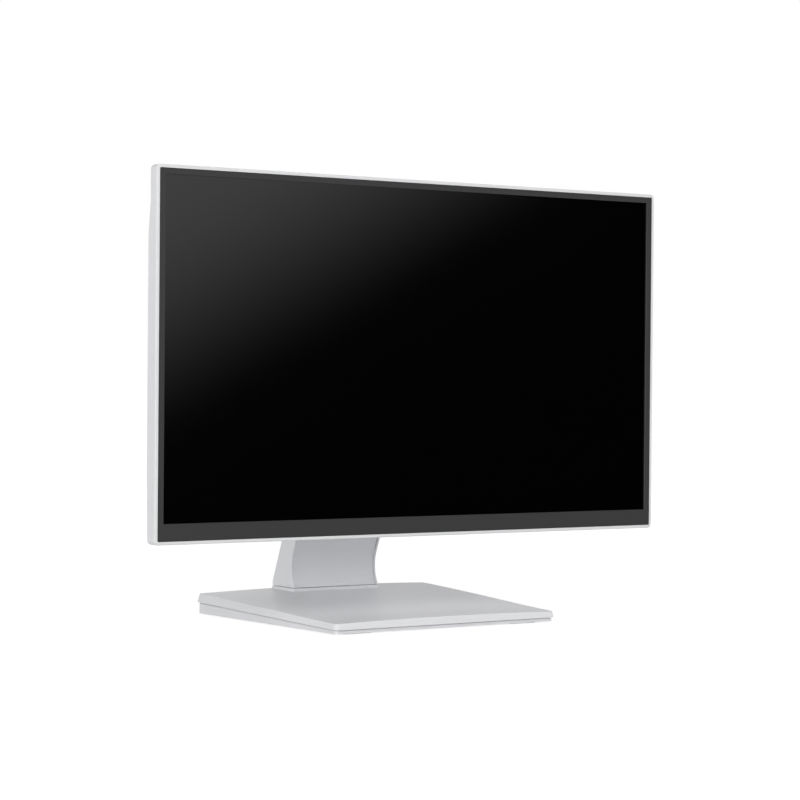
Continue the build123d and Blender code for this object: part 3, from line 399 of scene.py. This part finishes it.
def insert_face(tree, x, y, z):
    """1 on the D-shaped socket's insert: its mouth face and the walls of its contact holes."""
    low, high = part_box("vga_socket")
    mid_x = (low.x + high.x) / 2
    near = maths(tree, "LESS_THAN", maths(tree, "ABSOLUTE", maths(tree, "SUBTRACT", x, mid_x)), 0.0072)
    return maths(tree, "MULTIPLY", near, maths(tree, "LESS_THAN", z, low.z + 0.00005))


dress(two_finishes("hdmi_metal", inside_shell("hdmi_socket"), tin, black_case), "hdmi_socket")
dress(two_finishes("display_metal", inside_shell("display_socket"), tin, black_case), "display_socket")
dress(two_finishes("inlet_parts", blades, black_case, tin), "mains_inlet")
dress(two_finishes("vga_parts", insert_face, tin, blue_insert), "vga_socket")


# ======== Status light pipe ========
# A clear acrylic rod that carries a small lamp's light from the key board to the rim's underside.
# It is moulded and polished, with faint flow lines along it.
clear_rod, tree, shader = new_material("clear_rod", transmission_weight=0.9, ior=1.49)
place = add_node(tree, "ShaderNodeTexCoord").outputs["Object"]
streak = add_node(tree, "ShaderNodeTexNoise", {"Vector": place, "Scale": 260.0, "Detail": 2.0})
clarity = add_node(tree, "ShaderNodeMapRange", {"Value": streak.outputs[0], "To Min": 0.04, "To Max": 0.12})
tree.links.new(clarity.outputs[0], shader.inputs["Roughness"])
dress(clear_rod, "status_light_pipe")


# ======== Feet ========
# Four soft rubber pads glued under the base. They are dull, slightly mottled black-grey.
foot_rubber = moulded("foot_rubber", (0.05, 0.05, 0.05), (0.07, 0.07, 0.068), (0.75, 0.88), 0.0012,
                      0.00003)
dress(foot_rubber, "rubber_feet")


# ======== Studio ========
# A white sweep under even soft light. A large soft box stands to the right of the camera, so
# that only the upper left of the glass picks up its faded edge, and the rest mirrors the dark.
def flat_piece(name, centre, width, height, normal):
    """A single upright or level rectangle for the studio."""
    mesh = bpy.data.meshes.new(name)
    build = bmesh.new()
    bmesh.ops.create_grid(build, x_segments=1, y_segments=1, size=0.5)
    bmesh.ops.scale(build, vec=(width, height, 1), verts=build.verts)
    turn = Vector(normal).to_track_quat("Z", "Y").to_matrix().to_4x4()
    bmesh.ops.transform(build, matrix=Matrix.Translation(centre) @ turn, verts=build.verts)
    build.to_mesh(mesh)
    build.free()
    piece = bpy.data.objects.new(name, mesh)
    bpy.context.scene.collection.objects.link(piece)
    return piece


floor = flat_piece("floor", (0, 0, 0), 40, 40, (0, 0, 1))
floor.visible_glossy = False
sweep, tree, shader = new_material("white_sweep", roughness=0.9)
shader.inputs["Base Color"].default_value = (0.8, 0.8, 0.8, 1)
paper = add_node(tree, "ShaderNodeEmission", {"Strength": 0.86})
soft_shadow = add_node(tree, "ShaderNodeBsdfDiffuse", {"Color": (0.3, 0.3, 0.3, 1)})
seen = add_node(tree, "ShaderNodeAddShader", {0: paper.outputs[0], 1: soft_shadow.outputs[0]})
by_eye = add_node(tree, "ShaderNodeLightPath").outputs["Is Camera Ray"]
choice = add_node(tree, "ShaderNodeMixShader", {0: by_eye, 1: shader.outputs[0], 2: seen.outputs[0]})
tree.links.new(choice.outputs[0], tree.nodes["Material Output"].inputs["Surface"])
floor.data.materials.append(sweep)

glow_top = 0.608
glow_drop = 0.5256
glow_side = 0.999
glow_reach = 0.98
card = flat_piece("soft_box_edge", (0.95, -2.4, 1.0), 3.3, 2.0, (0, 1, 0))
card.visible_camera = False
card.visible_diffuse = False
card_glow, tree, shader = new_material("card_glow")
x, y, z = axes(tree)
fall = maths(tree, "DIVIDE", maths(tree, "SUBTRACT", glow_top, z), glow_drop)
slide = maths(tree, "DIVIDE", maths(tree, "SUBTRACT", x, glow_side), glow_reach)
fade = add_node(tree, "ShaderNodeMapRange", {"Value": maths(tree, "ADD", fall, slide), "To Min": 1.0,
                "To Max": 0.0}, interpolation_type="SMOOTHSTEP")
left_fade = add_node(tree, "ShaderNodeMapRange", {"Value": x, "From Min": -0.2, "From Max": 0.7},
                     interpolation_type="SMOOTHSTEP")
lit = maths(tree, "MULTIPLY", fade.outputs[0], left_fade.outputs[0])
card_light = add_node(tree, "ShaderNodeEmission", {"Strength": maths(tree, "MULTIPLY", lit, 1.2)})
tree.links.new(card_light.outputs[0], tree.nodes["Material Output"].inputs["Surface"])
card.data.materials.append(card_glow)

# The studio's walls are white panels: brightest in front of the object, softer at the sides, and
# dark overhead. A black flag hangs in front of the glass, where the camera would see it mirrored.
world = bpy.data.worlds.new("studio")
bpy.context.scene.world = world
world.use_nodes = True
tree = world.node_tree
panels = tree.nodes["Background"]
panels.inputs["Strength"].default_value = 1.0
view_way = add_node(tree, "ShaderNodeTexCoord").outputs["Generated"]
to_right, to_back, to_top = add_node(tree, "ShaderNodeSeparateXYZ", {"Vector": view_way}).outputs


def panel_light(signed_way, strength):
    """Light that grows towards one side of the studio."""
    return maths(tree, "MULTIPLY", maths(tree, "MAXIMUM", signed_way, 0.0), strength)


ring = maths(tree, "SUBTRACT", 1.0, maths(tree, "MAXIMUM", to_top, 0.0))
ring = maths(tree, "MULTIPLY", maths(tree, "POWER", ring, 2.0), 0.74)
leftward = maths(tree, "MULTIPLY", to_right, -1.0)
frontward = maths(tree, "MULTIPLY", to_back, -1.0)
for way, strength in [(leftward, 0.53), (frontward, 1.45), (to_right, 0.56), (to_back, 0.10)]:
    ring = maths(tree, "ADD", ring, panel_light(way, strength))
flag_way = Vector((0.559, -0.829, 0.0)).normalized()
facing = add_node(tree, "ShaderNodeVectorMath", {0: view_way, 1: tuple(flag_way)},
                  operation="DOT_PRODUCT").outputs["Value"]
clear = add_node(tree, "ShaderNodeMapRange",
                 {"Value": facing, "From Min": 0.73, "From Max": 0.94, "To Min": 1.0, "To Max": 0.0},
                 interpolation_type="SMOOTHSTEP")
tree.links.new(maths(tree, "MULTIPLY", ring, clear.outputs[0]), panels.inputs["Color"])
backdrop = add_node(tree, "ShaderNodeBackground", {"Color": (1, 1, 1, 1), "Strength": 1.0})
by_eye = add_node(tree, "ShaderNodeLightPath").outputs["Is Camera Ray"]
choice = add_node(tree, "ShaderNodeMixShader",
                  {0: by_eye, 1: panels.outputs[0], 2: backdrop.outputs[0]})
tree.links.new(choice.outputs[0], tree.nodes["World Output"].inputs["Surface"])

middle = Vector((0, 0, 0.1))
for name, place, size, power in [
        ("left_box", (-2.4, -0.5, 0.9), 1.4, 4.4),
        ("low_front_box", (-0.25, -2.3, 0.5), 0.9, 5.2),
        ("right_box", (2.4, 0.2, 1.2), 1.4, 3.9),
        ("back_box", (0.8, 2.4, 0.35), 0.9, 3.5)]:
    lamp = bpy.data.lights.new(name, "AREA")
    lamp.shape = "SQUARE"
    lamp.size = size
    lamp.energy = power
    box = bpy.data.objects.new(name, lamp)
    box.location = place
    box.rotation_euler = (middle - Vector(place)).to_track_quat("-Z", "Y").to_euler()
    box.visible_camera = False
    bpy.context.scene.collection.objects.link(box)


# ======== Camera ========
# A long lens far off to the left, a little above the foot of the screen, nearly level.
sensor = 36.0
lens_mm = 108.963
turned = math.radians(34.0703)
dipped = math.radians(0.5494)
rolled = math.radians(0.4660)
camera_place = (-1.24614, -1.87622, 0.22477)
ahead = Vector((math.sin(turned) * math.cos(dipped), math.cos(turned) * math.cos(dipped), -math.sin(dipped)))
level = Vector((math.cos(turned), -math.sin(turned), 0))
upward = level.cross(ahead)
right = level * math.cos(rolled) + upward * math.sin(rolled)
top = upward * math.cos(rolled) - level * math.sin(rolled)
eye = bpy.data.cameras.new("camera")
eye.sensor_width = sensor
eye.lens = lens_mm
camera = bpy.data.objects.new("camera", eye)
facing_head = Matrix((right, top, -ahead)).transposed().to_4x4()
camera.matrix_world = Matrix.Translation(camera_place) @ facing_head
bpy.context.scene.collection.objects.link(camera)
bpy.context.scene.camera = camera
bpy.context.scene.view_settings.view_transform = "Standard"
